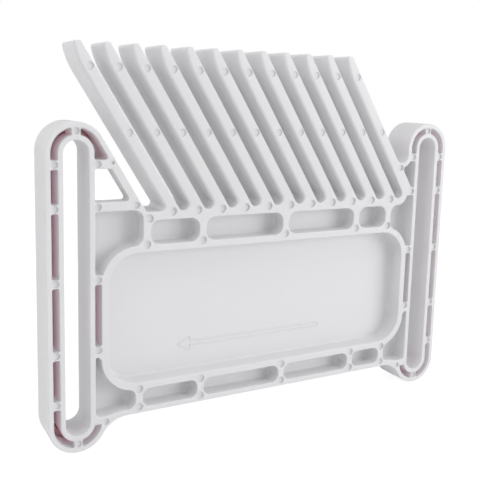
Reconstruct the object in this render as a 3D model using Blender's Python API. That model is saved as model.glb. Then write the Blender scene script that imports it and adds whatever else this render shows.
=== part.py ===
"""Featherboard for a router table or table saw, standing on the round ends of its two slotted lobes.

One moulding carries two lobes with bolt slots, a ribbed plate between them, and the roots of a
row of leaning spring fingers.  Each finger bends about a point just above its root, so it is its
own object there.  A grip ring sits in the groove round each slot, on the underside.

World axes: +X along the board, +Z up from the lobe ends to the fingertips, +Y from the ribbed top
side to the underside.  The origin is under the middle of the board.  All lengths are in metres.
"""
import bisect
import math

import bmesh
import bpy

MM = 0.001

# Driving dimensions.
THICKNESS = 19.0 * MM            # ribbed top side to underside
LOBE_SPACING = 195.6 * MM        # between the two slots' centre lines
SLOT_RADIUS = 5.6 * MM           # half the clear width of a slot
SLOT_WALL = 2.45 * MM            # wall round a slot
RING_CHANNEL = 2.75 * MM         # channel round that wall
OUTER_WALL = 2.5 * MM            # wall round the channel
BAR_BOTTOM = 13.1 * MM           # lower edge of the board between the lobes
BAR_FILLET = 13.3 * MM           # sweep from that edge into a lobe
ROOT_HEIGHT = 107.3 * MM         # bottom of the gaps between fingers
FINGER_RISE = 73.7 * MM          # from there to the top of the fingers
LOBE_RISE = 26.9 * MM            # from there to the centre of a lobe's round head

FINGERS = 12
FIRST_INSET = 31.8 * MM          # from the left lobe's wall to the first finger's root
LAST_OVERHANG = 2.5 * MM         # the last finger's root is this far inside the right lobe
FINGER_WIDTH = 5.47 * MM         # across one finger
FINGER_LEAN = math.radians(32.0)
FLEX_POINT = 11.0 * MM           # from a finger's root to where it bends
VALLEY_HOLD = 4.0 * MM           # the last finger bends this far above the valley beside it
FLEX_GAP = 0.3 * MM              # clearance between a finger and its stub
TIP_BACK_RADIUS = 24.0 * MM      # long curve that leads into the tip
TIP_BACK_START = 12.0 * MM       # how far below the tip that curve starts
TIP_CORNER = 1.2 * MM            # small rounding of a tip's corners

VALLEY_RADIUS = 4.0 * MM         # between the last finger and the right lobe
WIDE_GAP_CORNER = 1.8 * MM       # bottom corners of the gap beside the brace

PLATE_DEPTH = 8.6 * MM           # top side down to the plate's surface
PLATE = 2.4 * MM                 # plate thickness
WEB = 4.2 * MM                   # webs that bridge a ring channel
TOP_WEB_WIDTH = 4.1 * MM         # web at each end of a ring channel
HEAD_WEB_DROP = 1.1 * MM         # from the valley's centre down to the first web
ROOT_WEB_RISE = 3.3 * MM         # from the roots up to the web that carries the brace
FRAME_WEB_INSET = 2.9 * MM       # the web beside the panel frame, above its corner's centre
LOW_WEB_INSET = 4.7 * MM         # the web beside the frame's lower corner, above its centre
FOOT_WEB_RISE = 10.1 * MM        # from the centre of a lobe's foot to one more, outer web
FOOT_CHANNEL_DROP = 2.2 * MM     # where the channel stops at the inner foot of a lobe

PANEL_WALL = 3.3 * MM            # frame round the large recess
PANEL_CORNER = 17.0 * MM         # outer corner radius of that frame
PANEL_FLOOR_FILLET = 2.4 * MM    # between that recess's walls and its floor
ROOT_WALL = 3.8 * MM             # between the gaps' bottoms and the wells behind them
UPPER_WELL = 11.2 * MM           # height of the upper row of wells
BAR_WALL = 2.6 * MM              # wall along the board's lower edge
LOWER_WELL = 8.7 * MM            # height of the lower row of wells
WELL_CORNER = 4.5 * MM
LOW_WELL_CORNER = 3.6 * MM
WELL_FLOOR_FILLET = 1.4 * MM
CORNER_ROOM = 0.3 * MM           # between such a rounding and the curve that it follows
RIB = 3.5 * MM                   # ribs between neighbouring wells
FIRST_TOP_RIB = 32.1 * MM        # from the left slot's centre line to the upper wells' first rib
FIRST_LOW_RIB = 28.7 * MM        # and to the lower wells' first rib
RIB_SHARES = (0.2012, 0.5314, 0.8464)  # where the inner ribs stand between the first and last
CORNER_WELL_DIP = 0.9 * MM       # a lobe's foot lets the lower corner wells go deeper
CORNER_WELL_STEP = 5.5 * MM      # width of that dip's slope
UNDER_WALL = 2.5 * MM            # edge wall of the underside pockets

BRACE_LEAN = math.radians(31.3)
BRACE_WALL = 3.65 * MM           # leaning wall beside the first finger
BRACE_DEPTH = 7.6 * MM           # that wall and its opening's ribs are this deep
BRACE_CORNER = 1.3 * MM
WEDGE_WALL = 2.6 * MM            # wall under the valley
WEDGE_SIDE = 1.0 * MM            # from the last finger's side to the well under the valley

RING_SEAT = 10.2 * MM            # top side down to the end of the groove for a grip ring
RING_CLEARANCE = 0.3 * MM        # all round a grip ring

ARC_STEP = math.radians(12.0)    # longest turn between two points of an arc
OVERCUT = 1.0 * MM               # how far a cutter stands out of what it cuts
NEAR = 0.05 * MM                 # points closer than this count as one

# Worked out from the driving dimensions.
LOBE_X = LOBE_SPACING / 2
SLOT_OUT = SLOT_RADIUS + SLOT_WALL
RING_OUT = SLOT_OUT + RING_CHANNEL
LOBE_RADIUS = RING_OUT + OUTER_WALL
LOBE_FOOT = LOBE_RADIUS
LOBE_HEAD = ROOT_HEIGHT + LOBE_RISE
TIP_HEIGHT = ROOT_HEIGHT + FINGER_RISE
TOP_FACE = -THICKNESS / 2
UNDER_FACE = THICKNESS / 2
PANEL_X = LOBE_X - RING_OUT
SLOT_WALL_X = LOBE_X - SLOT_OUT
LOBE_INNER_X = LOBE_X - LOBE_RADIUS
WELL_TOP = ROOT_HEIGHT - ROOT_WALL
PANEL_TOP = WELL_TOP - UPPER_WELL
WELL_FOOT = BAR_BOTTOM + BAR_WALL
PANEL_FOOT = WELL_FOOT + LOWER_WELL
CORNER_WELL_FOOT = WELL_FOOT - CORNER_WELL_DIP
FRAME_X = PANEL_X - PANEL_CORNER
FRAME_HEAD = PANEL_TOP - PANEL_CORNER
FRAME_FOOT = PANEL_FOOT + PANEL_CORNER
ROOT_WEB = ROOT_HEIGHT + ROOT_WEB_RISE
FRAME_WEB = FRAME_HEAD + FRAME_WEB_INSET
LOW_WEB = FRAME_FOOT + LOW_WEB_INSET
FOOT_WEB = LOBE_FOOT + FOOT_WEB_RISE
LOW_CHANNEL_END = LOBE_FOOT - FOOT_CHANNEL_DROP
FIRST_ROOT = FIRST_INSET - LOBE_INNER_X
FINGER_PITCH = (LOBE_INNER_X + LAST_OVERHANG - FIRST_ROOT) / (FINGERS - 1)
LEAN_SIN, LEAN_COS = math.sin(FINGER_LEAN), math.cos(FINGER_LEAN)
PITCH_ACROSS = FINGER_PITCH * LEAN_COS
GAP_RADIUS = (PITCH_ACROSS - FINGER_WIDTH) / 2
LAST_ROOT = LOBE_INNER_X + LAST_OVERHANG
VALLEY_X = LOBE_INNER_X - VALLEY_RADIUS
VALLEY_REACH = FINGER_WIDTH / 2 + VALLEY_RADIUS + (LAST_ROOT - VALLEY_X) * LEAN_COS
VALLEY_Z = ROOT_HEIGHT + VALLEY_REACH / LEAN_SIN
HEAD_WEB = VALLEY_Z - HEAD_WEB_DROP
GAP_REACH = (GAP_RADIUS - PITCH_ACROSS / 2 * LEAN_SIN) / LEAN_COS
LAST_GAP_X = LAST_ROOT - FINGER_PITCH - LEAN_SIN * GAP_REACH + LEAN_COS * PITCH_ACROSS / 2
RIB_START, RIB_END = FIRST_TOP_RIB - LOBE_X, LAST_GAP_X - WELL_CORNER - RIB / 2
INNER_RIBS = tuple(RIB_START + share * (RIB_END - RIB_START) for share in RIB_SHARES)
TOP_RIBS = (RIB_START, *INNER_RIBS, RIB_END)
LOW_RIBS = (FIRST_LOW_RIB - LOBE_X, *INNER_RIBS, RIB_END)
LEAN_DEG = math.degrees(FINGER_LEAN)
BRACE_DEG = math.degrees(BRACE_LEAN)


# ---------------------------------------------------------------- outlines in the board's plane
def arc(cx, cz, radius, start, end):
    """Points on a circle from one angle to another, in degrees, both ends included."""
    steps = max(2, math.ceil(abs(math.radians(end - start)) / ARC_STEP - 1e-6))
    angles = [math.radians(start + (end - start) * step / steps) for step in range(steps + 1)]
    return [(cx + radius * math.cos(angle), cz + radius * math.sin(angle)) for angle in angles]


def rounded(corners):
    """A polygon from (x, z, corner radius), with each corner replaced by a tangent arc."""
    points = []
    for index, (x, z, radius) in enumerate(corners):
        if radius <= 0:
            points.append((x, z))
            continue
        before = corners[index - 1]
        after = corners[(index + 1) % len(corners)]
        in_x, in_z = unit(before[0] - x, before[1] - z)
        out_x, out_z = unit(after[0] - x, after[1] - z)
        half = math.acos(max(-1.0, min(1.0, in_x * out_x + in_z * out_z))) / 2
        mid_x, mid_z = unit(in_x + out_x, in_z + out_z)
        centre_x = x + mid_x * radius / math.sin(half)
        centre_z = z + mid_z * radius / math.sin(half)
        reach = radius / math.tan(half)
        start = math.atan2(z + in_z * reach - centre_z, x + in_x * reach - centre_x)
        end = math.atan2(z + out_z * reach - centre_z, x + out_x * reach - centre_x)
        turn = (end - start + math.pi) % (2 * math.pi) - math.pi
        points += arc(centre_x, centre_z, radius, math.degrees(start), math.degrees(start + turn))
    return points


def without_repeats(points):
    """The same outline with points that all but coincide left out."""
    return [point for index, point in enumerate(points) if math.dist(point, points[index - 1]) > NEAR]


def unit(x, z):
    length = math.hypot(x, z)
    return x / length, z / length


def box(x0, x1, z0, z1, radius=0.0):
    return rounded([(x0, z0, radius), (x1, z0, radius), (x1, z1, radius), (x0, z1, radius)])


def racetrack(centre_x, radius):
    """The outline of a slot: two half circles joined by straight sides."""
    return arc(centre_x, LOBE_HEAD, radius, 0, 180) + arc(centre_x, LOBE_FOOT, radius, 180, 360)


def mirrored(points):
    return [(-x, z) for x, z in reversed(points)]


def root(finger):
    """The centre of a finger at the height of the gap bottoms."""
    return FIRST_ROOT + finger * FINGER_PITCH, ROOT_HEIGHT


def finger_point(finger, along, across):
    """A point given along the finger from its root, and across it to the right."""
    x, z = root(finger)
    return x - LEAN_SIN * along + LEAN_COS * across, z + LEAN_COS * along + LEAN_SIN * across


def flex_point(finger):
    """How far along a finger from its root it bends."""
    if finger < FINGERS - 1:
        return FLEX_POINT
    touch_x, touch_z = root(finger)
    valley_x, valley_z = valley_centre()
    return (valley_z - touch_z) * LEAN_COS - (valley_x - touch_x) * LEAN_SIN + VALLEY_HOLD


def beside_lobe(offset, z):
    """X of the brace's leaning line that passes the left lobe's head centre at this offset."""
    return -LOBE_X + (offset - (z - LOBE_HEAD) * math.sin(BRACE_LEAN)) / math.cos(BRACE_LEAN)


def valley_centre():
    """Centre of the arc that touches the last finger's right side and the right lobe."""
    return VALLEY_X, VALLEY_Z


def gap_centre(finger):
    """Centre of the round bottom of the gap to the right of a finger."""
    return finger_point(finger, GAP_REACH, PITCH_ACROSS / 2)


def stub(finger):
    """The end of the short stretch of finger that stays with the body."""
    end = flex_point(finger) - FLEX_GAP / 2
    return [finger_point(finger, end, -FINGER_WIDTH / 2), finger_point(finger, end, FINGER_WIDTH / 2)]


def foot_of_lobe():
    """The sweep from the board's lower edge into the right lobe, then round the lobe's foot."""
    reach = LOBE_RADIUS + BAR_FILLET
    drop = LOBE_FOOT - (BAR_BOTTOM - BAR_FILLET)
    lean = math.degrees(math.asin(drop / reach))
    sweep_x = LOBE_X - reach * math.cos(math.radians(lean))
    sweep = arc(sweep_x, BAR_BOTTOM - BAR_FILLET, BAR_FILLET, 90, lean)
    inner_foot = arc(LOBE_X, LOBE_FOOT, LOBE_RADIUS, 180 + lean, 270)
    return sweep + inner_foot[1:] + arc(LOBE_X, LOBE_FOOT, LOBE_RADIUS, 270, 360)[1:]


def body_outline():
    """Once round the moulding, anticlockwise, starting along its lower edge."""
    points = foot_of_lobe()
    points += arc(LOBE_X, LOBE_HEAD, LOBE_RADIUS, 0, 180)
    points += arc(*valley_centre(), VALLEY_RADIUS, 0, LEAN_DEG - 180)
    for finger in reversed(range(FINGERS)):
        left, right = stub(finger)
        points += [right, left]
        if finger:
            points += arc(*gap_centre(finger - 1), GAP_RADIUS, LEAN_DEG, LEAN_DEG - 180)
    first_side = FIRST_ROOT - FINGER_WIDTH / 2 / LEAN_COS
    rise = 4 * GAP_RADIUS
    gap_floor = rounded([
        (first_side - rise * math.tan(FINGER_LEAN), ROOT_HEIGHT + rise, 0),
        (first_side, ROOT_HEIGHT, WIDE_GAP_CORNER),
        (beside_lobe(LOBE_RADIUS, ROOT_HEIGHT), ROOT_HEIGHT, WIDE_GAP_CORNER),
        (beside_lobe(LOBE_RADIUS, ROOT_HEIGHT + rise), ROOT_HEIGHT + rise, 0),
    ])
    points += gap_floor[1:-1]
    points += arc(-LOBE_X, LOBE_HEAD, LOBE_RADIUS, BRACE_DEG, 180)
    points += mirrored(foot_of_lobe())
    return points


def brace_opening():
    """The see-through opening between the left lobe and the leaning brace."""
    foot = ROOT_WEB + WEB / 2
    head = HEAD_WEB - WEB / 2
    inner = LOBE_RADIUS - BRACE_WALL
    return rounded([
        (-SLOT_WALL_X, foot, 0),
        (beside_lobe(inner, foot), foot, BRACE_CORNER),
        (beside_lobe(inner, head), head, 0),
        (-SLOT_WALL_X, head, 0),
    ])


def brace_relief():
    """What is taken off the underside so that the brace and its ribs stay shallow."""
    foot = ROOT_WEB
    head = HEAD_WEB - WEB / 2
    clear = LOBE_RADIUS + OVERCUT
    return [
        (-PANEL_X, foot),
        (beside_lobe(clear, foot), foot),
        (beside_lobe(clear, head), head),
        (-PANEL_X, head),
    ]


# ---------------------------------------------------------------- pockets
def row_of_wells(ribs, foot, head, radius):
    """Wells between the ribs of one row."""
    pairs = zip(ribs[:-1], ribs[1:])
    return [box(left + RIB / 2, right - RIB / 2, foot, head, radius) for left, right in pairs]


def wells():
    upper = row_of_wells(TOP_RIBS, PANEL_TOP, WELL_TOP, WELL_CORNER)
    return upper + row_of_wells(LOW_RIBS, WELL_FOOT, PANEL_FOOT, LOW_WELL_CORNER)


def panel():
    edge = PANEL_X - PANEL_WALL
    corner = PANEL_CORNER - PANEL_WALL
    return box(-edge, edge, PANEL_FOOT + PANEL_WALL, PANEL_TOP - PANEL_WALL, corner)


def frame_arc(side, upper, start, end):
    """Part of the panel frame's outer corner, as sharp corners of an outline."""
    centre_z = FRAME_HEAD if upper else FRAME_FOOT
    return [(x, z, 0) for x, z in arc(side * FRAME_X, centre_z, PANEL_CORNER, start, end)]


def frame_turn(x):
    """How far round its outer corner the frame is at a distance from the middle, in degrees."""
    return math.degrees(math.acos(min(1.0, max(0.0, (x - FRAME_X) / PANEL_CORNER))))


def frame_rise(turn):
    """How far above the start of its outer corner the frame is there."""
    return PANEL_CORNER * math.sin(math.radians(turn))


def frame_meeting(edge_x):
    """Where an upper corner well leaves the frame: its height, and how far round the corner."""
    corner_rise = frame_rise(frame_turn(min(edge_x, PANEL_X)))
    height = max(FRAME_WEB + WEB / 2, FRAME_HEAD + corner_rise)
    return height, math.degrees(math.asin((height - FRAME_HEAD) / PANEL_CORNER))


def upper_left_well(edge_x, head):
    """Corner well beside the left lobe, under the brace."""
    right = TOP_RIBS[0] - RIB / 2
    foot, meet = frame_meeting(edge_x)
    leave = 180 - frame_turn(WELL_CORNER + CORNER_ROOM - right)
    return rounded([
        (-edge_x, head, 0), (-edge_x, foot, 0), *frame_arc(-1, True, 180 - meet, leave),
        (right, PANEL_TOP, WELL_CORNER), (right, head, WELL_CORNER),
    ])


def upper_right_well(edge_x, head):
    """Corner well beside the right lobe, which curves round the last gap's bottom."""
    left = TOP_RIBS[-1] + RIB / 2
    foot, meet = frame_meeting(edge_x)
    leave = frame_turn(left + WELL_CORNER + CORNER_ROOM)
    gap_x, gap_z = gap_centre(FINGERS - 2)
    sweep = GAP_RADIUS + ROOT_WALL
    side_turn = -math.degrees(math.acos(min(1.0, (edge_x - gap_x) / sweep)))
    head_turn = math.degrees(math.asin((head - gap_z) / sweep))
    round_gap = arc(gap_x, gap_z, sweep, min(head_turn, side_turn), -90)
    return rounded([
        (edge_x, foot, 0), (edge_x, round_gap[0][1], 0), *[(x, z, 0) for x, z in round_gap],
        (left, WELL_TOP, WELL_CORNER), (left, PANEL_TOP - RIB / 4, WELL_CORNER),
        *frame_arc(1, True, leave, meet),
    ])


def lower_well(side, edge_x, head):
    """Corner well at a lobe's foot.  One that reaches the slot's wall dips along the lobe."""
    inner = LOW_RIBS[-1] + RIB / 2 if side > 0 else -LOW_RIBS[0] + RIB / 2
    start = frame_turn(min(edge_x, PANEL_X))
    corners = frame_arc(1, False, -start, -frame_turn(inner + LOW_WELL_CORNER + CORNER_ROOM))
    corners += [(inner, PANEL_FOOT, LOW_WELL_CORNER), (inner, WELL_FOOT, LOW_WELL_CORNER)]
    if edge_x > PANEL_X:
        corners += [(edge_x - 2 * CORNER_WELL_STEP, WELL_FOOT, 0)]
        corners += [(edge_x - CORNER_WELL_STEP, CORNER_WELL_FOOT, 0)]
        corners += [(edge_x, CORNER_WELL_FOOT, WIDE_GAP_CORNER)]
    else:
        corners += [(edge_x, WELL_FOOT, WIDE_GAP_CORNER)]
    corners += [(edge_x, head, 0)]
    outline = rounded(corners)
    return outline if side > 0 else mirrored(outline)


def wedge_well():
    """Small well under the valley between the last finger and the right lobe."""
    foot = ROOT_WEB + WEB / 2
    head = HEAD_WEB - WEB / 2
    valley_x, valley_z = valley_centre()
    sweep = VALLEY_RADIUS + WEDGE_WALL
    beside = FINGER_WIDTH / 2 + WEDGE_SIDE
    top = valley_z - sweep
    low = finger_point(FINGERS - 1, (foot - ROOT_HEIGHT - beside * LEAN_SIN) / LEAN_COS, beside)
    high = finger_point(FINGERS - 1, (top - ROOT_HEIGHT - beside * LEAN_SIN) / LEAN_COS, beside)
    top_turn = math.degrees(math.asin((head - valley_z) / sweep))
    return rounded([
        (SLOT_WALL_X, foot, 0), (*low, WIDE_GAP_CORNER), (*high, WIDE_GAP_CORNER),
        *[(x, z, 0) for x, z in arc(valley_x, valley_z, sweep, -60, top_turn)],
        (SLOT_WALL_X, head, 0),
    ])


# ---------------------------------------------------------------- meshes
def material(name, colour, roughness):
    shade = bpy.data.materials.new(name)
    shade.use_nodes = True
    shader = shade.node_tree.nodes["Principled BSDF"]
    shader.inputs["Base Color"].default_value = (*colour, 1.0)
    shader.inputs["Roughness"].default_value = roughness
    shader.inputs["Metallic"].default_value = 0.0
    return shade


def collection(name):
    group = bpy.data.collections.new(name)
    bpy.context.scene.collection.children.link(group)
    return group


def prism(name, outlines, near, far, group):
    """A flat filled outline, holes included, between two depths, as a closed mesh."""
    outlines = [without_repeats(outline) for outline in outlines]
    curve = bpy.data.curves.new(name, "CURVE")
    curve.dimensions = "2D"
    curve.fill_mode = "BOTH"
    curve.extrude = (far - near) / 2
    for outline in outlines:
        spline = curve.splines.new("POLY")
        spline.points.add(len(outline) - 1)
        spline.use_cyclic_u = True
        for point, (x, z) in zip(spline.points, outline):
            point.co = (x, z, 0.0, 1.0)
    flat = bpy.data.objects.new(name, curve)
    flat.location = (0.0, (near + far) / 2, 0.0)
    flat.rotation_euler = (math.pi / 2, 0.0, 0.0)
    group.objects.link(flat)
    bpy.context.view_layer.update()
    mesh = bpy.data.meshes.new_from_object(flat.evaluated_get(bpy.context.evaluated_depsgraph_get()))
    weld = bmesh.new()
    weld.from_mesh(mesh)
    bmesh.ops.remove_doubles(weld, verts=weld.verts, dist=0.00001)
    bmesh.ops.recalc_face_normals(weld, faces=weld.faces)
    weld.to_mesh(mesh)
    weld.free()
    solid = bpy.data.objects.new(name, mesh)
    solid.matrix_world = flat.matrix_world
    group.objects.link(solid)
    bpy.data.objects.remove(flat)
    solid.name = name
    return solid


def cut(target, cutter):
    """Takes the cutter's solid out of the target and hides the cutter."""
    step = target.modifiers.new(cutter.name, "BOOLEAN")
    step.operation = "DIFFERENCE"
    step.solver = "EXACT"
    step.object = cutter
    cutter.hide_render = True
    cutter.display_type = "WIRE"


def crossing(line, other):
    """Where two lines meet, each given by a point and a direction."""
    x, z, run_x, run_z = line
    other_x, other_z, other_run_x, other_run_z = other
    spread = run_x * other_run_z - run_z * other_run_x
    if abs(spread) < 0.000001:
        return other_x, other_z
    along = ((other_x - x) * other_run_z - (other_z - z) * other_run_x) / spread
    return x + run_x * along, z + run_z * along


def inset(outline, distance):
    """An outline moved inwards, with as many points.  It runs anticlockwise.

    Each edge moves in and meets its neighbours.  Where an edge is used up, its ends share a point.
    """
    edges = []
    for (x, z), (next_x, next_z) in zip(outline, outline[1:] + outline[:1]):
        run_x, run_z = unit(next_x - x, next_z - z)
        edges.append((x - run_z * distance, z + run_x * distance, run_x, run_z))
    kept = list(range(len(edges)))
    while True:
        corners = [crossing(edges[kept[place - 1]], edges[kept[place]]) for place in range(len(kept))]
        lengths = []
        for place, index in enumerate(kept):
            (x, z), (next_x, next_z) = corners[place], corners[(place + 1) % len(kept)]
            lengths.append((next_x - x) * edges[index][2] + (next_z - z) * edges[index][3])
        if min(lengths) >= 0 or len(kept) <= 3:
            break
        kept.pop(lengths.index(min(lengths)))
    return [corners[bisect.bisect_left(kept, index) % len(kept)] for index in range(len(edges))]


def pocket_cutter(name, outlines, mouth, floor, fillet, segments, group):
    """Closed solids from the mouth of some pockets to their floor, rounded where wall meets floor."""
    toward = math.copysign(1.0, floor - mouth)
    levels = [(mouth, 0.0)]
    for step in range(segments + 1):
        turn = math.pi / 2 * step / segments
        levels.append((floor - toward * fillet * (1 - math.sin(turn)), fillet * (1 - math.cos(turn))))
    cage = bmesh.new()
    for outline in outlines:
        outline = without_repeats(outline)
        area = sum(x0 * z1 - x1 * z0 for (x0, z0), (x1, z1) in zip(outline, outline[1:] + outline[:1]))
        if area < 0:
            outline.reverse()
        rings = [[cage.verts.new((x, depth, z)) for x, z in inset(outline, distance)]
                 for depth, distance in levels]
        for lower, upper in zip(rings[:-1], rings[1:]):
            for index in range(len(outline)):
                cage.faces.new((lower[index - 1], lower[index], upper[index], upper[index - 1]))
        cage.faces.new(rings[0])
        cage.faces.new(rings[-1])
    bmesh.ops.remove_doubles(cage, verts=cage.verts, dist=0.000001)
    bmesh.ops.recalc_face_normals(cage, faces=cage.faces)
    mesh = bpy.data.meshes.new(name)
    cage.to_mesh(mesh)
    cage.free()
    solid = bpy.data.objects.new(name, mesh)
    group.objects.link(solid)
    return solid


# ---------------------------------------------------------------- the pieces
def ring_outlines(side, gap):
    """The groove round a slot, or with a gap the ring that sits in it."""
    return [racetrack(side * LOBE_X, RING_OUT - gap), racetrack(side * LOBE_X, SLOT_OUT + gap)]


def channel_outlines(side):
    """The channel round a slot on the top side; the left one runs on along the brace."""
    outer, inner = ring_outlines(side, 0.0)
    if side < 0:
        foot = HEAD_WEB + WEB / 2
        touch = arc(-LOBE_X, LOBE_HEAD, RING_OUT, BRACE_DEG, 180)[0]
        outer = [touch, *[point for point in outer if point[0] < touch[0] or point[1] < LOBE_HEAD]]
        outer += [(-PANEL_X, foot), (beside_lobe(RING_OUT, foot), foot)]
    return [outer, inner]


def web_blocks(side):
    """Where the channel round a slot is bridged, seen from the top side."""
    out_x, in_x = sorted((side * (LOBE_X + SLOT_RADIUS), side * (LOBE_X + LOBE_RADIUS)))
    webs = (HEAD_WEB, ROOT_WEB, FRAME_WEB, LOW_WEB, FOOT_WEB)
    blocks = [box(out_x, in_x, z - WEB / 2, z + WEB / 2) for z in webs]
    left, right = side * LOBE_X - TOP_WEB_WIDTH / 2, side * LOBE_X + TOP_WEB_WIDTH / 2
    blocks.append(box(left, right, LOBE_HEAD, LOBE_HEAD + LOBE_RADIUS))
    blocks.append(box(left, right, LOBE_FOOT - LOBE_RADIUS, LOBE_FOOT))
    near, far = sorted((side * (LOBE_X - SLOT_RADIUS), side * (LOBE_INNER_X - BRACE_WALL)))
    blocks.append(box(near, far, FRAME_WEB - WEB / 2, HEAD_WEB + WEB / 2))
    blocks.append(box(near, far, LOW_CHANNEL_END, LOW_WEB + WEB / 2))
    return blocks


def make_body(parts, cutters, plastic):
    slots = [racetrack(side * LOBE_X, SLOT_RADIUS) for side in (-1, 1)]
    body = prism("body", [body_outline(), *slots, brace_opening()], TOP_FACE, UNDER_FACE, parts)
    body.data.materials.append(plastic)

    above, below = TOP_FACE - OVERCUT, UNDER_FACE + OVERCUT
    plate_top, plate_under = TOP_FACE + PLATE_DEPTH, TOP_FACE + PLATE_DEPTH + PLATE
    groove = TOP_FACE + RING_SEAT
    corner_head = ROOT_WEB - WEB / 2
    low_head = LOW_WEB - WEB / 2
    top_pockets = wells() + [
        upper_left_well(SLOT_WALL_X, corner_head), upper_right_well(SLOT_WALL_X, corner_head),
        lower_well(-1, SLOT_WALL_X, low_head), lower_well(1, SLOT_WALL_X, low_head),
        wedge_well(),
    ]
    cut(body, pocket_cutter("top_pockets", top_pockets, above, plate_top, WELL_FLOOR_FILLET, 2, cutters))
    under_head = ROOT_HEIGHT - UNDER_WALL
    under_low = FRAME_FOOT - frame_rise(frame_turn(LOBE_INNER_X))
    under_pockets = wells() + [
        upper_left_well(LOBE_INNER_X, under_head), upper_right_well(LOBE_INNER_X, under_head),
        lower_well(-1, LOBE_INNER_X, under_low), lower_well(1, LOBE_INNER_X, under_low),
    ]
    cut(body, pocket_cutter("under_pockets", under_pockets, below, plate_under, WELL_FLOOR_FILLET, 2,
                            cutters))
    for name, mouth, floor in (("top_panel", above, plate_top), ("under_panel", below, plate_under)):
        cut(body, pocket_cutter(name, [panel()], mouth, floor, PANEL_FLOOR_FILLET, 3, cutters))
    for side, name in ((-1, "left"), (1, "right")):
        channel = prism(name + "_channel", channel_outlines(side), above, groove, cutters)
        bridges = prism(name + "_webs", web_blocks(side), above - OVERCUT, groove + OVERCUT, cutters)
        cut(channel, bridges)
        cut(body, channel)
        cut(body, prism(name + "_groove", ring_outlines(side, 0.0), groove, below, cutters))
    cut(body, prism("brace_relief", [brace_relief()], TOP_FACE + BRACE_DEPTH, below, cutters))
    return body


def tip_outline(finger):
    """One finger from its bending point to its tip, in the board's plane."""
    half = FINGER_WIDTH / 2
    start = flex_point(finger) + FLEX_GAP / 2
    length = FINGER_RISE / LEAN_COS
    straight = length - TIP_BACK_START
    back = [finger_point(finger, straight + TIP_BACK_RADIUS * math.sin(turn),
                         -half + TIP_BACK_RADIUS * (1 - math.cos(turn)))
            for turn in (math.radians(step) for step in (0, 7, 14, 21))]
    ridge = finger_point(finger, length - half * math.tan(FINGER_LEAN), half)
    tip = rounded([
        (*back[-2], 0),
        (back[-1][0], TIP_HEIGHT, TIP_CORNER),
        (ridge[0], TIP_HEIGHT, TIP_CORNER / 2),
        (*finger_point(finger, straight, half), 0),
    ])
    low_right = finger_point(finger, start, half)
    low_left = finger_point(finger, start, -half)
    return [low_right, *reversed(tip[1:-1]), *reversed(back[:-1]), low_left]


def make_finger(number, parts, plastic):
    finger = prism(f"finger_{number + 1:02d}", [tip_outline(number)], TOP_FACE, UNDER_FACE, parts)
    finger.data.materials.append(plastic)
    hinge_x, hinge_z = finger_point(number, flex_point(number), 0.0)
    pivot = bpy.data.objects.new(f"bending_point_{number + 1:02d}", None)
    pivot.location = (hinge_x, 0.0, hinge_z)
    pivot.empty_display_size = FINGER_WIDTH
    parts.objects.link(pivot)
    bpy.context.view_layer.update()
    finger.parent = pivot
    finger.matrix_parent_inverse = pivot.matrix_world.inverted()
    return finger


def make_grip_ring(name, side, parts, rubber):
    near = TOP_FACE + RING_SEAT + RING_CLEARANCE
    ring = prism(name, ring_outlines(side, RING_CLEARANCE), near, UNDER_FACE, parts)
    ring.data.materials.append(rubber)
    return ring


def main():
    for old in list(bpy.data.objects):
        bpy.data.objects.remove(old)
    parts = collection("featherboard")
    cutters = collection("cutters")
    white_plastic = material("moulded_pale_grey_plastic", (0.70, 0.70, 0.71), 0.45)
    red_rubber = material("red_grip_rubber", (0.42, 0.02, 0.05), 0.6)
    make_body(parts, cutters, white_plastic)
    for number in range(FINGERS):
        make_finger(number, parts, white_plastic)
    make_grip_ring("grip_ring_left", -1, parts, red_rubber)
    make_grip_ring("grip_ring_right", 1, parts, red_rubber)


main()
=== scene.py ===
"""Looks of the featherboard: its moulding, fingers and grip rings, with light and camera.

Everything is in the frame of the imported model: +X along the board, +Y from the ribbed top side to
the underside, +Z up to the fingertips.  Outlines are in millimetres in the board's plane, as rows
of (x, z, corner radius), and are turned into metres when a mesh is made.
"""
import math

import bmesh
import bpy
import numpy as np
from mathutils import Matrix, Vector
from mathutils.geometry import tessellate_polygon


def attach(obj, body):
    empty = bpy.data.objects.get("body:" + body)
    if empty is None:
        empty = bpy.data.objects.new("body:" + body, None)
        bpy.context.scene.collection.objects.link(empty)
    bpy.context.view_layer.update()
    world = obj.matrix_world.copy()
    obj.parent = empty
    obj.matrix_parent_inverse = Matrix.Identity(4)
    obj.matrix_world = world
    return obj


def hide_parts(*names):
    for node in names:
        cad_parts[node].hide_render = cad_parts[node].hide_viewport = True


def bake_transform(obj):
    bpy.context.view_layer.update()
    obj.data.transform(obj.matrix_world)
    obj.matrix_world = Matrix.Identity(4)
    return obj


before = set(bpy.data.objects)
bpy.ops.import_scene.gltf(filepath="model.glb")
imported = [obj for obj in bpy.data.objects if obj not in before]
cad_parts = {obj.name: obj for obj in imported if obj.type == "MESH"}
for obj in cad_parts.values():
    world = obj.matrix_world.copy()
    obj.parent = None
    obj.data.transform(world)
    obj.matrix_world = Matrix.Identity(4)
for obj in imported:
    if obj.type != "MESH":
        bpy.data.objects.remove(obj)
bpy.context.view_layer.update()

# ------------------------------------------------------------------ sizes in millimetres
MM = 0.001
TOP, UNDER = -9.5, 9.5            # the ribbed side's face and the underside's

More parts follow.
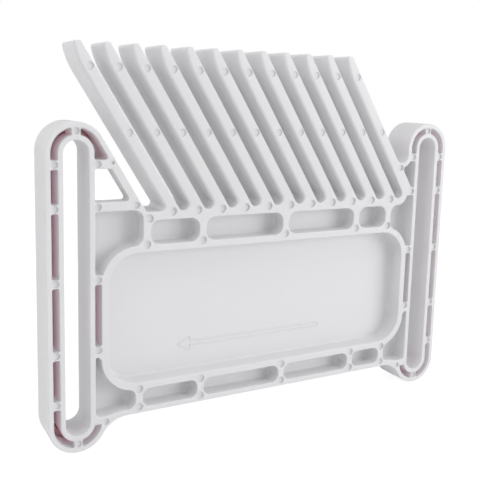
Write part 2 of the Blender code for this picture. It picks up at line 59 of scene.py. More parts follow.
# Lobes: from a slot outwards come its wall, the channel over the grip ring, and the outer wall.
LOBE_X = 97.8
LOBE_FOOT, LOBE_HEAD = 13.3, 134.2   # heights of the round ends' centres
SLOT_R, CHANNEL_IN, CHANNEL_OUT, LOBE_R = 5.6, 8.05, 10.8, 13.3
PANEL_X = LOBE_X - CHANNEL_OUT
SLOT_WALL_X = LOBE_X - CHANNEL_IN
LOBE_INNER_X = LOBE_X - LOBE_R
BAR_BOTTOM, BAR_FILLET = 13.1, 13.3  # the bar between the feet, and its sweep into each
WEB, TOP_WEB = 4.2, 4.1           # the webs across a channel, and the one at a lobe's head or foot
WEBS = (129.3, 110.6, 78.2, 46.1)    # heights of their middles on both sides of a slot
LOW_WEB = 23.4                    # this one is on the outward side only
LOW_CHANNEL_END = 11.1            # height where the inward side's lowest channel ends
END_TURN = 4.0                    # degrees left free for the rounding of a channel's curved end
RING_SEAT = TOP + 10.2            # where the channels end and the ring's groove starts
RING_GAP, RING_R = 0.3, 0.6
GROOVE_EASE = 0.06                # the groove is this much wider than the channels that open in it

# Fingers, the brace beside the first one, and the valley beside the last one.
ROOT_Z, TIP_Z = 107.3, 181.0
FINGERS, PITCH, FINGER_W = 12, 12.7, 5.47
LAST = FINGERS - 1
LEAN_DEG, BRACE_DEG = 32.0, 31.3
LEAN_SIN, LEAN_COS = math.sin(math.radians(LEAN_DEG)), math.cos(math.radians(LEAN_DEG))
BRACE_SIN, BRACE_COS = math.sin(math.radians(BRACE_DEG)), math.cos(math.radians(BRACE_DEG))
RIGHTWARD = np.array([LEAN_COS, LEAN_SIN])       # square to the fingers
FIRST_ROOT = -52.7
HALF = FINGER_W / 2
ACROSS = PITCH * LEAN_COS
GAP_R = (ACROSS - FINGER_W) / 2
SEAM, BEND_END = 7.0, 20.0        # along a finger: its own piece starts, and its bending stretch ends
LAST_SEAM, LAST_BEND_END = 24.5, 38.0   # the last finger is free only above the valley
TIP_CURVE, TIP_CURVE_START = 34.0, 13.0   # the back's radius at the tip, and its length
TIP_LEFT_R, TIP_RIGHT_R = 1.5, 0.9
BACK_SHARE = 0.75                 # of its turn the back has made where the tip's rounding starts
BRACE_WALL, BRACE_DEPTH, RELIEF_ROOM = 3.65, 7.6, 1.0
WINDOW_R, WINDOW_FOOT_R = 0.6, 1.3
VALLEY_R, WIDE_GAP_R = 4.0, 1.8

# The plate's recess with its frame, and the wells between the ribs.
PLATE_TOP, PLATE_UNDER = TOP + 8.6, TOP + 11.0   # the floors of the wells on the two sides
PANEL_WALL, PANEL_TOP, PANEL_FOOT, PANEL_R = 3.3, 92.3, 24.4, 17.0
FRAME_X = PANEL_X - PANEL_R
WELL_TOP, WELL_FOOT, WELL_R, LOW_WELL_R = 103.5, 15.7, 4.5, 3.6
RIB = 3.5
TOP_RIBS = (-65.7, -37.8, 7.9, 51.5, 72.7)
LOW_RIBS = (-69.1, -37.8, 7.9, 51.5, 72.7)
CORNER_FOOT, CORNER_STEP, CORNER_R = 14.8, 5.5, 3.0
ROOT_WALL, UNDER_WALL = 3.8, 2.5
WEDGE_WALL, WEDGE_SIDE, WEDGE_R = 2.6, 1.0, 1.8
WEDGE_TURN = -60.0                # degrees, where the wall round the valley starts
CORNER_ROOM = 0.3                 # between a corner well's rounding and the curve it follows
INSIDE_R = 0.9                    # upright corners of the wells beside a web
CELL_R, CELL_TOP_R, BRACE_CELL_R = 0.7, 0.6, 1.0   # upright corners of the channels

# Rounded edges.
EDGE = 0.45                       # rounding of the rims' edges
SHARP_EDGE, SOFT_EDGE = 0.35, 1.3   # a finger's right edges are crisp and its left ones soft
TIP_EDGE, TIP_EDGE_REACH = 0.7, 15.0
MOUTH = 0.35                      # rounding of a pocket's mouth
FLOOR = 0.9                       # rounding where a pocket's wall meets its floor
DRAFT = 0.12                      # a pocket is this much narrower at its floor
BETWEEN_FINGERS = (-62.0, 80.4)   # from here to there the body's rim is rounded as the fingers are

# Ejector pins' marks, as (x, z, radius) or as what their names say.
PIN_DEPTH, FINGER_PIN_DEPTH = 1.0, 0.75
PIN_LIP = np.array([(0, -0.12), (0.05, -0.03), (0.15, 0)])   # (depth, inset) round a mark's edge
PIN_DRAFT = 0.03
ROOT_PIN = (-0.5, -0.3, 1.95)     # from a finger's root
FINGER_PIN_Z, FINGER_PIN_ACROSS, FINGER_PIN_R = (142.8, 170.7), 0.5, 1.75
RIB_PIN_RISE, RIB_PIN_R = 0.3, 1.9
WEB_PIN_X, WALL_PIN_X, WEB_PIN_R = 107.2, 88.4, 1.64
END_PIN_AWAY, END_PIN_R = 9.4, 1.6   # from the middle of a lobe's head or foot
FOOT_PIN = (85.0, 11.9, 1.5)
# One under the valley, two beside the first root, and a small one on the brace.
LONE_PINS = ((79.9, 123.8, 1.7), (-64.5, 104.3, 1.9), (-70.8, 110.7, 1.6), (-81.6, 129.9, 0.75))

# How finely curves are drawn, and how near two points count as one.
ARC_STEP, CORNER_TURN = 6.0, 15   # degrees from point to point: on long arcs, and on small ones
BENDING_STEP, STRAIGHT_STEP = 1.5, 8.0   # along a finger: where it bends, and above that
SAME_CORNER, SAME_POINT, SLACK = 0.02, 1e-4, 1e-6
SHARPEST_MITRE = 0.3              # 1 + cos between two normals is taken as no less than this
PAST_FACE, PAST_SEAT = 1.0, 0.2   # how far a cutter reaches past a face, and past the ring's seat


# ------------------------------------------------------------------ outlines
def arc(cx, cz, radius, start, end, step=ARC_STEP):
    """Corners on a circle: its centre plus radius times (cos, sin) of even steps in degrees."""
    count = max(2, math.ceil(abs(end - start) / step - SLACK))
    turn = np.radians(np.linspace(start, end, count + 1))
    return np.stack([cx + radius * np.cos(turn), cz + radius * np.sin(turn), 0 * turn], 1)


def outline(*parts):
    """Corners one after another, anticlockwise, without any that all but coincide."""
    corners = np.vstack([np.atleast_2d(part) for part in parts]).astype(float)
    step = np.linalg.norm((corners - np.roll(corners, 1, 0))[:, :2], axis=1)
    corners = corners[step > SAME_CORNER]
    x, z = corners[:, 0], corners[:, 1]
    twice_area = (x * np.roll(z, -1) - z * np.roll(x, -1)).sum()
    return corners if twice_area > 0 else corners[::-1]


def mirrored(corners):
    """The same outline on the other side of the board's middle: x changes sign."""
    return np.array(corners)[::-1] * (-1, 1, 1)


def mitres(place):
    """For each corner, the normals of its two edges, and how it moves when both go in by one.

    That move is the sum of both normals over 1 plus their dot product.
    """
    edge = np.roll(place, -1, 0) - place
    edge /= np.linalg.norm(edge, axis=1)[:, None]
    after = np.stack([-edge[:, 1], edge[:, 0]], 1)
    before = np.roll(after, 1, 0)
    spread = np.maximum(1 + (before * after).sum(1), SHARPEST_MITRE)
    return before, after, (before + after) / spread[:, None]


def laid_out(corners, inset=0.0):
    """Points of an outline with rounded corners, moved inwards.

    Each corner moves along its mitre.  Its arc's radius then shrinks by the inset where the outline
    turns left and grows by it where it turns right, and the arc's points are the centre minus that
    radius times the first edge's normal, turned by even shares of the corner's angle.
    """
    place, radius = corners[:, :2], corners[:, 2]
    before, after, mitre = mitres(place)
    cross = before[:, 0] * after[:, 1] - before[:, 1] * after[:, 0]
    turn = np.arctan2(cross, (before * after).sum(1))
    side = np.sign(turn)
    bend = np.where(radius > 0, np.maximum(radius - side * inset, 0), 0) * side
    centre = place + mitre * (inset + bend)[:, None]
    steps = np.ceil(np.abs(turn) / math.radians(CORNER_TURN))
    count = np.where(radius > 0, steps + 1, 1).astype(int)
    which = np.repeat(np.arange(len(corners)), count)
    first = (np.cumsum(count) - count)[which]
    share = (np.arange(len(which)) - first) / np.maximum(count[which] - 1, 1)
    cos, sin = np.cos(turn[which] * share), np.sin(turn[which] * share)
    nx, nz = before[which].T
    turned = np.stack([nx * cos - nz * sin, nx * sin + nz * cos], 1)
    return centre[which] - turned * bend[which, None]


def box(x0, x1, z0, z1, radius):
    """A rectangle with its four corners rounded alike."""
    return outline((x0, z0, radius), (x1, z0, radius), (x1, z1, radius), (x0, z1, radius))


def racetrack(cx, radius):
    """Half a circle round a lobe's head, half a circle round its foot, and straight sides."""
    return outline(arc(cx, LOBE_HEAD, radius, 0, 180), arc(cx, LOBE_FOOT, radius, 180, 360))


def finger_point(finger, along, across, corner=0.0):
    """A place on a finger: its root, plus a length along its lean and one square to that."""
    x = FIRST_ROOT + finger * PITCH - LEAN_SIN * along + LEAN_COS * across
    z = ROOT_Z + LEAN_COS * along + LEAN_SIN * across
    return np.stack(np.broadcast_arrays(x, z, corner), -1)


def seam(finger):
    """How far along a finger its own piece starts."""
    return LAST_SEAM if finger == LAST else SEAM


def bend_end(finger):
    """How far along a finger its bending ends."""
    return LAST_BEND_END if finger == LAST else BEND_END


def beside_lobe(offset, z):
    """Where a line beside the left lobe, leaning as the brace does, is at a height."""
    return -LOBE_X + (offset - (z - LOBE_HEAD) * BRACE_SIN) / BRACE_COS


def valley_centre():
    """Where an arc of the valley's radius touches both the last finger and the right lobe."""
    x = LOBE_INNER_X - VALLEY_R
    from_root = x - FIRST_ROOT - LAST * PITCH
    return x, ROOT_Z + (HALF + VALLEY_R - from_root * LEAN_COS) / LEAN_SIN


def gap_centre(finger):
    """Middle of the round end of the gap on a finger's right, which touches the roots' line."""
    return finger_point(finger, (GAP_R - ACROSS / 2 * LEAN_SIN) / LEAN_COS, ACROSS / 2)[:2]


def foot_of_lobe():
    """The right lobe's foot, and the arc that sweeps from the bar's underside into it."""
    reach = LOBE_R + BAR_FILLET
    lean = math.degrees(math.asin((LOBE_FOOT - BAR_BOTTOM + BAR_FILLET) / reach))
    sweep_x = LOBE_X - reach * math.cos(math.radians(lean))
    sweep = arc(sweep_x, BAR_BOTTOM - BAR_FILLET, BAR_FILLET, 90, lean)
    return np.vstack([sweep, arc(LOBE_X, LOBE_FOOT, LOBE_R, 180 + lean, 360)[1:]])


def body_outline():
    """Anticlockwise from the right foot: lobe, valley, finger roots and gaps, brace, left lobe."""
    parts = [foot_of_lobe(), arc(LOBE_X, LOBE_HEAD, LOBE_R, 0, 180)]
    half_turn = (LEAN_DEG, LEAN_DEG - 180, CORNER_TURN)
    parts.append(arc(*valley_centre(), VALLEY_R, 0, LEAN_DEG - 180, CORNER_TURN))
    for finger in reversed(range(FINGERS)):
        parts += [finger_point(finger, seam(finger), edge) for edge in (HALF, -HALF)]
        if finger:
            parts.append(arc(*gap_centre(finger - 1), GAP_R, *half_turn))
    parts.append((FIRST_ROOT - HALF / LEAN_COS, ROOT_Z, WIDE_GAP_R))
    parts.append((beside_lobe(LOBE_R, ROOT_Z), ROOT_Z, WIDE_GAP_R))
    parts.append(arc(-LOBE_X, LOBE_HEAD, LOBE_R, BRACE_DEG, 180))
    return outline(*parts, mirrored(foot_of_lobe()))


def finger_outline(finger):
    """A finger from its seam up: straight sides, and a back that curves over to the tip.

    The back's curve is an arc that touches its straight side: a length grows by radius times sin,
    and the way across by radius times 1 - cos.
    """
    length = (TIP_Z - ROOT_Z) / LEAN_COS
    straight = length - TIP_CURVE_START
    bending = np.arange(seam(finger), bend_end(finger), BENDING_STEP)
    along = np.hstack([bending, np.arange(bend_end(finger), straight, STRAIGHT_STEP), straight])
    rise = (TIP_CURVE_START * LEAN_COS + LEAN_SIN * HALF) / TIP_CURVE
    over = math.radians(LEAN_DEG) + math.asin(rise - LEAN_SIN)
    turn = np.append(np.linspace(0, BACK_SHARE, 5)[1:] * over, over)
    back = finger_point(
        finger, straight + TIP_CURVE * np.sin(turn), TIP_CURVE * (1 - np.cos(turn)) - HALF)
    ridge = finger_point(finger, length - HALF * LEAN_SIN / LEAN_COS, HALF)
    return outline(
        finger_point(finger, along, HALF), (ridge[0], TIP_Z, TIP_RIGHT_R),
        (back[-1, 0], TIP_Z, TIP_LEFT_R), back[-2::-1], finger_point(finger, along, -HALF)[::-1])


def brace_window():
    """The see-through opening between the left slot's wall and the brace."""
    foot, head = WEBS[1] + WEB / 2, WEBS[0] - WEB / 2
    inner = LOBE_R - BRACE_WALL
    return outline(
        (-SLOT_WALL_X, foot, WINDOW_R), (beside_lobe(inner, foot), foot, WINDOW_FOOT_R),
        (beside_lobe(inner, head), head, WINDOW_R), (-SLOT_WALL_X, head, WINDOW_R))


def brace_relief():
    """What the underside lacks round the brace, which stays shallow."""
    foot, head = WEBS[1], WEBS[0] - WEB / 2
    clear = LOBE_R + RELIEF_ROOM
    return outline(
        (-PANEL_X, foot, 0), (beside_lobe(clear, foot), foot, 0),
        (beside_lobe(clear, head), head, 0), (-PANEL_X, head, 0))


def frame_arc(side, upper, start, end):
    """Part of the quarter circle at a corner of the recess's frame."""
    centre = PANEL_TOP - PANEL_R if upper else PANEL_FOOT + PANEL_R
    return arc(side * FRAME_X, centre, PANEL_R, start, end)


def frame_turn(x):
    """The angle at which a corner arc of the frame reaches an x."""
    return math.degrees(math.acos((x - FRAME_X) / PANEL_R))


def frame_meeting(edge_x):
    """Height and angle where a corner well's foot meets the recess's frame."""
    centre = PANEL_TOP - PANEL_R
    rise = PANEL_R * math.sin(math.radians(frame_turn(min(edge_x, PANEL_X))))
    height = max(WEBS[2] + WEB / 2, centre + rise)
    return height, math.degrees(math.asin((height - centre) / PANEL_R))


def upper_left_well(edge_x, head):
    """Between the left lobe, the frame's arc and the first rib."""
    right = TOP_RIBS[0] - RIB / 2
    foot, meet = frame_meeting(edge_x)
    leave = 180 - frame_turn(WELL_R + CORNER_ROOM - right)
    return outline(
        (-edge_x, head, INSIDE_R), (-edge_x, foot, INSIDE_R),
        frame_arc(-1, True, 180 - meet, leave), (right, PANEL_TOP, WELL_R), (right, head, WELL_R))


def upper_right_well(edge_x, head):
    """Between the right lobe, the frame's arc, the last rib and the wall round the last gap."""
    left = TOP_RIBS[-1] + RIB / 2
    foot, meet = frame_meeting(edge_x)
    gap_x, gap_z = gap_centre(LAST - 1)
    sweep = GAP_R + ROOT_WALL
    side_turn = -math.degrees(math.acos(min(1.0, (edge_x - gap_x) / sweep)))
    head_turn = math.degrees(math.asin((head - gap_z) / sweep))
    round_gap = arc(gap_x, gap_z, sweep, min(head_turn, side_turn), -90)
    return outline(
        (edge_x, foot, INSIDE_R), (edge_x, round_gap[0, 1], INSIDE_R), round_gap,
        (left, WELL_TOP, WELL_R), (left, PANEL_TOP - RIB / 4, WELL_R),
        frame_arc(1, True, frame_turn(left + WELL_R + CORNER_ROOM), meet))


def lower_well(side, edge_x, head):
    """Between a lobe, the frame's arc, the outermost rib and the bar's lower wall."""
    inner = LOW_RIBS[-1] + RIB / 2 if side > 0 else -LOW_RIBS[0] + RIB / 2
    foot = [(edge_x, WELL_FOOT, WIDE_GAP_R)]
    if edge_x > PANEL_X:
        foot = [(edge_x - 2 * CORNER_STEP, WELL_FOOT, CORNER_R),
                (edge_x - CORNER_STEP, CORNER_FOOT, CORNER_R), (edge_x, CORNER_FOOT, WIDE_GAP_R)]
    start, end = frame_turn(min(edge_x, PANEL_X)), frame_turn(inner + LOW_WELL_R + CORNER_ROOM)
    corners = outline(
        frame_arc(1, False, -start, -end), (inner, PANEL_FOOT, LOW_WELL_R),
        (inner, WELL_FOOT, LOW_WELL_R), *foot, (edge_x, head, INSIDE_R))
    return corners if side > 0 else mirrored(corners)


def wedge_well():
    """Small well under the valley between the last finger and the right lobe."""
    foot, head = WEBS[1] + WEB / 2, WEBS[0] - WEB / 2
    valley_x, valley_z = valley_centre()
    sweep = VALLEY_R + WEDGE_WALL
    beside = HALF + WEDGE_SIDE
    low, high = ((z - ROOT_Z - beside * LEAN_SIN) / LEAN_COS for z in (foot, valley_z - sweep))
    head_turn = math.degrees(math.asin((head - valley_z) / sweep))
    return outline(
        (SLOT_WALL_X, foot, INSIDE_R), finger_point(LAST, low, beside, WEDGE_R),
        finger_point(LAST, high, beside, WEDGE_R),
        arc(valley_x, valley_z, sweep, WEDGE_TURN, head_turn),
        (SLOT_WALL_X, head, INSIDE_R))


def row_of_wells(ribs, foot, head, radius):
    """A well from each rib to the next."""
    return [box(a + RIB / 2, b - RIB / 2, foot, head, radius) for a, b in zip(ribs[:-1], ribs[1:])]


def wells():
    """The rows of wells above and below the recess."""
    return (row_of_wells(TOP_RIBS, PANEL_TOP, WELL_TOP, WELL_R)
            + row_of_wells(LOW_RIBS, WELL_FOOT, PANEL_FOOT, LOW_WELL_R))


def recess():
    """The large recess: the frame's outline, in by its wall."""
    edge = PANEL_X - PANEL_WALL
    return box(-edge, edge, PANEL_FOOT + PANEL_WALL, PANEL_TOP - PANEL_WALL, PANEL_R - PANEL_WALL)


def middle_web_cuts():
    """Angles at which the web at a lobe's head or foot cuts the channel's outer and inner wall."""
    return [math.degrees(math.acos(TOP_WEB / 2 / r)) for r in (CHANNEL_OUT, CHANNEL_IN)]


def end_cell(head, outward):
    """Stretch of channel round a lobe's head or foot, from its first web to its middle one."""
    cut_out, cut_in = middle_web_cuts()
    side, up = (1 if outward else -1), (1 if head else -1)
    centre = LOBE_HEAD if head else LOBE_FOOT
    if head or outward:
        end = up * ((WEBS[0] + WEB / 2 if head else LOW_WEB - WEB / 2) - centre)
        turn_out = turn_in = 0.0
        feet = [(wall, end, CELL_R) for wall in (CHANNEL_IN, CHANNEL_OUT)]
    else:
        end = centre - LOW_CHANNEL_END
        turn_out, turn_in = (
            math.degrees(math.asin(end / wall)) + END_TURN for wall in (CHANNEL_OUT, CHANNEL_IN))
        feet = [(math.sqrt(wall ** 2 - end ** 2), end, CELL_R / 2)
                for wall in (CHANNEL_IN, CHANNEL_OUT)]
    outer = arc(0, 0, CHANNEL_OUT, turn_out, cut_out)
    inner = arc(0, 0, CHANNEL_IN, cut_in, turn_in)
    outer[-1, 2] = inner[0, 2] = CELL_TOP_R
    cell = outline(*feet, outer, inner)
    return outline(cell * (side, up, 1) + (side * LOBE_X if outward else LOBE_X, centre, 0))


def channel_cells(side):
    """The stretches of channel round a slot, between its webs, that open into the ring's groove."""
    near, far = LOBE_X + CHANNEL_IN, LOBE_X + CHANNEL_OUT
    stops = (*WEBS, LOW_WEB)
    cells = [box(near, far, low + WEB / 2, high - WEB / 2, CELL_R)
             for high, low in zip(stops[:-1], stops[1:])]
    cells.append(box(PANEL_X, SLOT_WALL_X, WEBS[3] + WEB / 2, WEBS[2] - WEB / 2, CELL_R))
    cells += [end_cell(True, True), end_cell(False, True), end_cell(False, False)]
    if side > 0:
        return [*cells, end_cell(True, False)]
    return [mirrored(cell) for cell in cells]


def brace_channel():
    """The left channel's last stretch, which widens beside the brace."""
    foot = WEBS[0] + WEB / 2
    cut_out, cut_in = middle_web_cuts()
    outer = arc(-LOBE_X, LOBE_HEAD, CHANNEL_OUT, BRACE_DEG, cut_out)
    inner = arc(-LOBE_X, LOBE_HEAD, CHANNEL_IN, cut_in, 0)
    outer[-1, 2] = inner[0, 2] = CELL_TOP_R
    return outline((-SLOT_WALL_X, foot, CELL_R),
                   (beside_lobe(CHANNEL_OUT, foot), foot, BRACE_CELL_R), outer, inner)


# ------------------------------------------------------------------ shells from outlines
def quarter_turn(steps):
    """Even angles from 0 to a right angle."""
    return np.linspace(0, math.pi / 2, steps + 1)


def rounding(depth, toward, radius):
    """(depth, inset) round an edge: radius times 1 - cos from the face, and 1 - sin outwards."""
    turn = quarter_turn(4)
    return np.stack([depth + toward * radius * (1 - np.cos(turn)), -radius * (1 - np.sin(turn))], 1)


def floor_rounding(floor, toward):
    """(depth, inset) where a wall meets a floor: FLOOR times 1 - sin above it, and 1 - cos in."""
    turn = quarter_turn(5)
    depth = floor - toward * FLOOR * (1 - np.sin(turn))
    return np.stack([depth, DRAFT + FLOOR * (1 - np.cos(turn))], 1)


class Shell:
    """A closed mesh of profiles carried round outlines, and of flat sheets between their rings.

    The faces of deep walls are remembered, because they get the shell's second material: painted
    red light from the rings.
    """

    def __init__(self):
        self.points, self.faces, self.count, self.deep = [], [], 0, []

    def carry(self, levels, deep=False):
        """Joins rings of as many points each.  Returns their indices, one row for each ring."""
        index = self.count + np.arange(levels.shape[0] * levels.shape[1]).reshape(levels.shape[:2])
        self.count += index.size
        self.points.append(levels.reshape(-1, 3))
        low, high = index[:-1], index[1:]
        quads = np.stack([np.roll(low, 1, 1), low, high, np.roll(high, 1, 1)], -1).reshape(-1, 4)
        if deep:
            self.deep += range(len(self.faces), len(self.faces) + len(quads))
        self.faces += quads.tolist()
        return index

    def wall(self, corners, profile, deep=False):
        """Carries a profile of (depth, inset) round an outline."""
        rings = [laid_out(corners, inset) for _, inset in profile]
        return self.carry(np.stack([
            np.stack([ring[:, 0], np.full(len(ring), depth), ring[:, 1]], 1)
            for ring, (depth, _) in zip(rings, profile)]), deep)

    def sheet(self, *rings):
        """A flat face inside the first ring and outside the others."""
        points = np.vstack(self.points)
        loops = []
        for ring in rings:
            step = np.linalg.norm(points[ring] - points[np.roll(ring, 1)], axis=1)
            loops.append(ring[step > SAME_POINT])
        index = np.concatenate(loops)
        flat = [[Vector((x, z, 0)) for x, _, z in points[loop]] for loop in loops]
        self.faces += [index[list(face)].tolist() for face in tessellate_polygon(flat)]

    def pocket(self, corners, mouth, floor):
        """Walls and floor of a pocket.  Returns the ring where it opens."""
        toward = math.copysign(1, floor - mouth)
        profile = np.vstack([rounding(mouth, toward, MOUTH), floor_rounding(floor, toward)])
        rings = self.wall(corners, profile)
        self.sheet(rings[-1])
        return rings[0]

    def through(self, corners, near, far, deep=False):
        """Walls of a way through, or down to the ring's groove.  Returns the rings at its ends."""
        ends = np.array([(far, 0.0)]) if deep else rounding(far, -1, MOUTH)[::-1]
        rings = self.wall(corners, np.vstack([rounding(near, 1, MOUTH), ends]), deep)
        return rings[0], rings[-1]

    def pin_mark(self, x, z, radius, depth=PIN_DEPTH):
        """The round mark that an ejector pin leaves.  Returns the ring where it opens."""
        levels = np.vstack([PIN_LIP + (TOP, 0), (TOP + depth, PIN_DRAFT)])
        rings = self.wall(arc(x, z, radius, 0, 360 - CORNER_TURN, CORNER_TURN), levels)
        self.sheet(rings[-1])
        return rings[0]

    def outside(self, corners, radius_of, seams):
        """The outer wall between both faces, with edges rounded by a radius that may change.

        Round an edge of radius r a point goes down by r (1 - cos t) and out by r sin t.  A corner
        at a seam slides square to its finger only, so that the two pieces beside it fit.
        """
        place = laid_out(corners)
        inward = mitres(place)[2]
        for x, z, way in seams:
            nearest = np.argmin(np.hypot(place[:, 0] - x, place[:, 1] - z))
            inward[nearest] = way * RIGHTWARD
        radius = radius_of(place, -inward / np.linalg.norm(inward, axis=1)[:, None])
        turn = quarter_turn(5)[:, None]
        drop, inset = radius * (1 - np.cos(turn)), radius * (1 - np.sin(turn))
        depth = np.vstack([TOP + drop, (UNDER - drop)[::-1]])
        flat = place + inward * np.vstack([inset, inset[::-1]])[:, :, None]
        rings = self.carry(np.dstack([flat[..., 0], depth, flat[..., 1]]))
        return rings[0], rings[-1]

    def object(self, name):
        """The shell in metres, as an object, with its deep faces in the second material slot."""
        mesh = bpy.data.meshes.new(name)
        mesh.from_pydata((np.vstack(self.points) * MM).tolist(), [], self.faces)
        if self.deep:
            mesh.materials.append(None)
            mesh.materials.append(None)
            slots = np.zeros(len(self.faces), int)
            slots[self.deep] = 1
            mesh.polygons.foreach_set("material_index", slots)
        return solid(name, mesh)


def solid(name, mesh):
    """A mesh with its doubles merged and its faces turned outwards, as an object."""
    cage = bmesh.new()
    cage.from_mesh(mesh)
    bmesh.ops.remove_doubles(cage, verts=cage.verts, dist=SAME_POINT * MM)
    bmesh.ops.recalc_face_normals(cage, faces=cage.faces)
    cage.to_mesh(mesh)
    cage.free()
    piece = bpy.data.objects.new(name, mesh)
    bpy.context.scene.collection.objects.link(piece)
    return piece


def cut(piece, cutter):
    """Takes a cutter's solid out of a piece for good."""
    step = piece.modifiers.new(cutter.name, "BOOLEAN")
    step.operation, step.solver, step.object = "DIFFERENCE", "EXACT", cutter
    bpy.context.view_layer.update()
    view = bpy.context.evaluated_depsgraph_get()
    shaped = bpy.data.meshes.new_from_object(piece.evaluated_get(view))
    piece.modifiers.clear()
    piece.data = shaped
    bpy.data.objects.remove(cutter)


def smooth(share):
    """0 up to 0, 1 from 1 on, and between them 3 times the square less twice the cube."""
    share = np.clip(share, 0, 1)
    return share * share * (3 - 2 * share)


def finger_edge(place, outward):
    """Crisp on the side that faces right, soft on the side that faces left, rounder at a tip."""
    radius = SHARP_EDGE + (SOFT_EDGE - SHARP_EDGE) * smooth(-(outward @ RIGHTWARD))
    at_tip = place[:, 1] > TIP_Z - TIP_EDGE_REACH
    return np.maximum(radius, TIP_EDGE * np.clip(outward[:, 1], 0, 1) ** 2 * at_tip)


def body_edge(place, outward):
    """As on the fingers between them, and even elsewhere."""
    x, z = place.T
    between = (x > BETWEEN_FINGERS[0]) & (x < BETWEEN_FINGERS[1]) & (z > ROOT_Z - 1)
    return np.where(between, finger_edge(place, outward), EDGE)


def seam_corners(finger):
    """Both corners of a finger's seam, with the way in from each: left from the right one."""
    return [(*finger_point(finger, seam(finger), -way * HALF)[:2], way) for way in (-1, 1)]


# ------------------------------------------------------------------ the moulding
def body_pin_marks():
    """(x, z, radius) of the ejector pins' marks on the body's top side."""
    right, up, radius = ROOT_PIN
    marks = [(FIRST_ROOT + finger * PITCH + right, ROOT_Z + up, radius) for finger in range(LAST)]
    marks += LONE_PINS
    for ribs, z in ((TOP_RIBS, PANEL_TOP), (LOW_RIBS, PANEL_FOOT), (LOW_RIBS, WELL_FOOT)):
        marks += [(x, z + RIB_PIN_RISE, RIB_PIN_R) for x in ribs]
    foot_x, foot_z, foot_r = FOOT_PIN
    for side in (-1, 1):
        marks.append((side * foot_x, foot_z, foot_r))
        marks.append((side * LOBE_X, LOBE_HEAD + END_PIN_AWAY, END_PIN_R))
        marks.append((side * LOBE_X, LOBE_FOOT - END_PIN_AWAY, END_PIN_R))
        marks += [(side * WEB_PIN_X, z, WEB_PIN_R) for z in (*WEBS, LOW_WEB)]
        marks += [(side * WALL_PIN_X, z, WEB_PIN_R) for z in WEBS]
    return marks


def sink_top_side(shell):
    """The ribbed side's wells, recess and pin marks.  Returns the rings where they open."""
    corner_head, low_head = WEBS[1] - WEB / 2, WEBS[3] - WEB / 2
    pockets = [
        *wells(), upper_left_well(SLOT_WALL_X, corner_head),
        upper_right_well(SLOT_WALL_X, corner_head), lower_well(-1, SLOT_WALL_X, low_head),
        lower_well(1, SLOT_WALL_X, low_head), wedge_well(), recess()]
    holes = [shell.pocket(corners, TOP, PLATE_TOP) for corners in pockets]
    return holes + [shell.pin_mark(*mark) for mark in body_pin_marks()]


def sink_underside(shell):
    """The underside's shallow wells and recess.  Returns the rings where they open."""
    head = ROOT_Z - UNDER_WALL
    low = PANEL_FOOT + PANEL_R * (1 - math.sin(math.radians(frame_turn(LOBE_INNER_X))))
    pockets = [
        *wells(), upper_left_well(LOBE_INNER_X, head), upper_right_well(LOBE_INNER_X, head),
        lower_well(-1, LOBE_INNER_X, low), lower_well(1, LOBE_INNER_X, low), recess()]
    return [shell.pocket(corners, UNDER, PLATE_UNDER) for corners in pockets]


def open_lobe(shell, side):
    """A lobe's slot, its channel, and the ring's groove that the channel opens into.

    Returns the rings where they open on the top side, and those on the underside.
    """
    slot_top, slot_under = shell.through(racetrack(side * LOBE_X, SLOT_R), TOP, UNDER)
    cells = [shell.through(cell, TOP, RING_SEAT, True) for cell in channel_cells(side)]
    groove = np.vstack([rounding(UNDER, -1, MOUTH), [(RING_SEAT, 0.0)]])
    outer = shell.wall(racetrack(side * LOBE_X, CHANNEL_OUT + GROOVE_EASE), groove)
    inner = shell.wall(racetrack(side * LOBE_X, CHANNEL_IN - GROOVE_EASE), groove * (1, -1))
    shell.sheet(outer[-1], inner[-1], *[far for _, far in cells])
    shell.sheet(inner[0], slot_under)
    return [slot_top, *[near for near, _ in cells]], [outer[0]]


def make_moulding():
    """The body: its outer wall, with all that opens on its two faces sunk between them."""
    shell = Shell()
    seams = [corner for finger in range(FINGERS) for corner in seam_corners(finger)]
    rim_top, rim_under = shell.outside(body_outline(), body_edge, seams)
    top_holes, under_holes = sink_top_side(shell), sink_underside(shell)
    for side in (-1, 1):
        top, under = open_lobe(shell, side)
        top_holes += top
        under_holes += under
    shell.sheet(rim_top, *top_holes)
    shell.sheet(rim_under, *under_holes)
    body = shell.object("moulding_body")

    mouth = np.vstack([[(TOP - PAST_FACE, -MOUTH)], rounding(TOP, 1, MOUTH)])
    far_mouth = np.vstack([rounding(UNDER, -1, MOUTH)[::-1], [(UNDER + PAST_FACE, -MOUTH)]])
    to_groove = np.vstack([mouth, [(RING_SEAT + PAST_SEAT, 0)]])
    shallow = [(TOP + BRACE_DEPTH, 0), (UNDER + PAST_FACE, 0)]
    for name, corners, levels, deep in (
            ("brace_channel", brace_channel(), to_groove, True),
            ("brace_window", brace_window(), np.vstack([mouth, far_mouth]), False),
            ("brace_relief", brace_relief(), shallow, False)):
        cutter = Shell()
        rings = cutter.wall(corners, levels, deep)
        cutter.sheet(rings[0])
        cutter.sheet(rings[-1])
        cut(body, cutter.object(name + "_cutter"))
    return body


def make_finger(finger):
    """A finger above its seam: its outer wall, both faces, and two pin marks on its top side."""
    shell = Shell()
    top, under = shell.outside(finger_outline(finger), finger_edge, seam_corners(finger))
    marks = []
    for height in FINGER_PIN_Z:
        along = (height - ROOT_Z - FINGER_PIN_ACROSS * LEAN_SIN) / LEAN_COS
        x, z, _ = finger_point(finger, along, FINGER_PIN_ACROSS)
        marks.append(shell.pin_mark(x, z, FINGER_PIN_R, FINGER_PIN_DEPTH))
    shell.sheet(top, *marks)
    shell.sheet(under)
    return shell.object(f"moulded_finger_{finger + 1:02d}")


